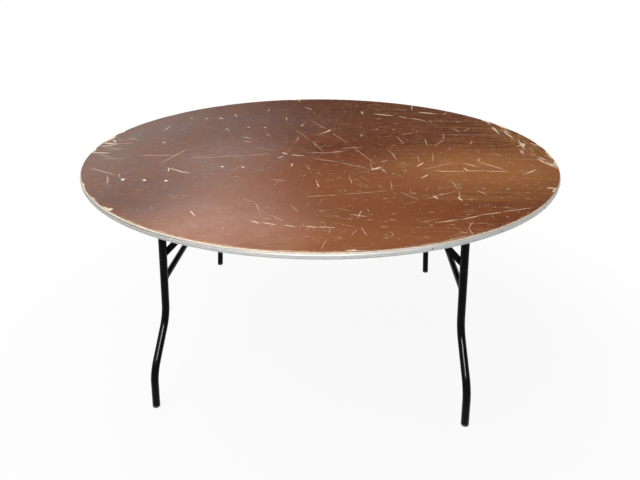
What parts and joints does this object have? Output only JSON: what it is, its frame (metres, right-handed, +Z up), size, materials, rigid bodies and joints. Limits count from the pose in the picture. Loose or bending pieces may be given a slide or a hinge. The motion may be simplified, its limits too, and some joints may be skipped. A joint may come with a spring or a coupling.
{
  "type": "round folding table",
  "caption": "Round plywood table with a metal edge band, on folding leg frames of kinked black steel tube held open by hinged stays.",
  "frame": {"origin": "on the floor under the middle of the round top, with the table standing", "axes": "+Z up, X from the left leg frame to the right one, the front of the table at -Y"},
  "size_m": [1.5239, 1.5238, 0.762],
  "materials": {
    "plywood": "brown lacquer, worn",
    "edge_metal": "dull, scuffed",
    "black_paint": "gloss",
    "zinc_steel": "zinc plated",
    "fastener_steel": "zinc plated",
    "black_plastic": "moulded"
  },
  "bodies": {
    "top": {"table_top": "plywood", "edge_band": "edge_metal", "band_nails": "fastener_steel", "hinge_rivets": "fastener_steel", "hinge_plate_rivets": "fastener_steel", "brace_rivets": "fastener_steel", "left_front_hinge_plate": "zinc_steel", "left_front_saddle": "zinc_steel", "left_front_brace_plate": "zinc_steel", "left_front_brace_saddle": "zinc_steel", "left_rear_hinge_plate": "zinc_steel", "left_rear_saddle": "zinc_steel", "left_rear_brace_plate": "zinc_steel", "left_rear_brace_saddle": "zinc_steel", "right_front_hinge_plate": "zinc_steel", "right_front_saddle": "zinc_steel", "right_front_brace_plate": "zinc_steel", "right_front_brace_saddle": "zinc_steel", "right_rear_hinge_plate": "zinc_steel", "right_rear_saddle": "zinc_steel", "right_rear_brace_plate": "zinc_steel", "right_rear_brace_saddle": "zinc_steel"},
    "left_frame": {"left_pivot_tube": "black_paint", "left_pivot_plugs": "black_plastic", "left_crossbar": "black_paint", "left_stay_rivets": "black_paint", "left_front_leg": "black_paint", "left_front_foot": "black_plastic", "left_rear_leg": "black_paint", "left_rear_foot": "black_plastic"},
    "left_brace": {"left_brace_tube": "black_paint", "left_front_upper_stay": "black_paint", "left_front_elbow_rivet_head": "fastener_steel", "left_rear_upper_stay": "black_paint", "left_rear_elbow_rivet_head": "fastener_steel"},
    "left_front_lower_stay": {"left_front_lower_stay": "black_paint", "left_front_elbow_rivet_tail": "fastener_steel"},
    "left_rear_lower_stay": {"left_rear_lower_stay": "black_paint", "left_rear_elbow_rivet_tail": "fastener_steel"},
    "right_frame": {"right_pivot_tube": "black_paint", "right_pivot_plugs": "black_plastic", "right_crossbar": "black_paint", "right_stay_rivets": "black_paint", "right_front_leg": "black_paint", "right_front_foot": "black_plastic", "right_rear_leg": "black_paint", "right_rear_foot": "black_plastic"},
    "right_brace": {"right_brace_tube": "black_paint", "right_front_upper_stay": "black_paint", "right_front_elbow_rivet_head": "fastener_steel", "right_rear_upper_stay": "black_paint", "right_rear_elbow_rivet_head": "fastener_steel"},
    "right_front_lower_stay": {"right_front_lower_stay": "black_paint", "right_front_elbow_rivet_tail": "fastener_steel"},
    "right_rear_lower_stay": {"right_rear_lower_stay": "black_paint", "right_rear_elbow_rivet_tail": "fastener_steel"}
  },
  "joints": [
    {"name": "left_fold", "type": "hinge", "parent": "top", "child": "left_frame", "pos_m": [-0.4438, 0, 0.7281], "axis": [0, -1, 0], "range_deg": [0, 95]},
    {"name": "left_brace_turn", "type": "hinge", "parent": "top", "child": "left_brace", "pos_m": [-0.2458, 0, 0.7281], "axis": [0, -1, 0], "range_deg": [-46.4, 0]},
    {"name": "left_front_lower_stay_turn", "type": "hinge", "parent": "left_frame", "child": "left_front_lower_stay", "pos_m": [-0.46376, -0.3245, 0.5], "axis": [0, -1, 0], "range_deg": [0, 38.8]},
    {"name": "left_rear_lower_stay_turn", "type": "hinge", "parent": "left_frame", "child": "left_rear_lower_stay", "pos_m": [-0.46376, 0.3245, 0.5], "axis": [0, -1, 0], "range_deg": [0, 38.8]},
    {"name": "right_fold", "type": "hinge", "parent": "top", "child": "right_frame", "pos_m": [0.4438, 0, 0.7281], "axis": [0, 1, 0], "range_deg": [0, 91]},
    {"name": "right_brace_turn", "type": "hinge", "parent": "top", "child": "right_brace", "pos_m": [0.2458, 0, 0.7281], "axis": [0, 1, 0], "range_deg": [-45.63, 0]},
    {"name": "right_front_lower_stay_turn", "type": "hinge", "parent": "right_frame", "child": "right_front_lower_stay", "pos_m": [0.46376, -0.3245, 0.5], "axis": [0, 1, 0], "range_deg": [0, 38.15]},
    {"name": "right_rear_lower_stay_turn", "type": "hinge", "parent": "right_frame", "child": "right_rear_lower_stay", "pos_m": [0.46376, 0.3245, 0.5], "axis": [0, 1, 0], "range_deg": [0, 38.15]}
  ],
  "couplings": [
    {"joint": "left_brace_turn", "follows": "left_fold", "ratio": -0.4874},
    {"joint": "left_front_lower_stay_turn", "follows": "left_fold", "ratio": 0.40734},
    {"joint": "left_rear_lower_stay_turn", "follows": "left_fold", "ratio": 0.40734},
    {"joint": "right_brace_turn", "follows": "right_fold", "ratio": -0.50032},
    {"joint": "right_front_lower_stay_turn", "follows": "right_fold", "ratio": 0.41808},
    {"joint": "right_rear_lower_stay_turn", "follows": "right_fold", "ratio": 0.41808}
  ]
}
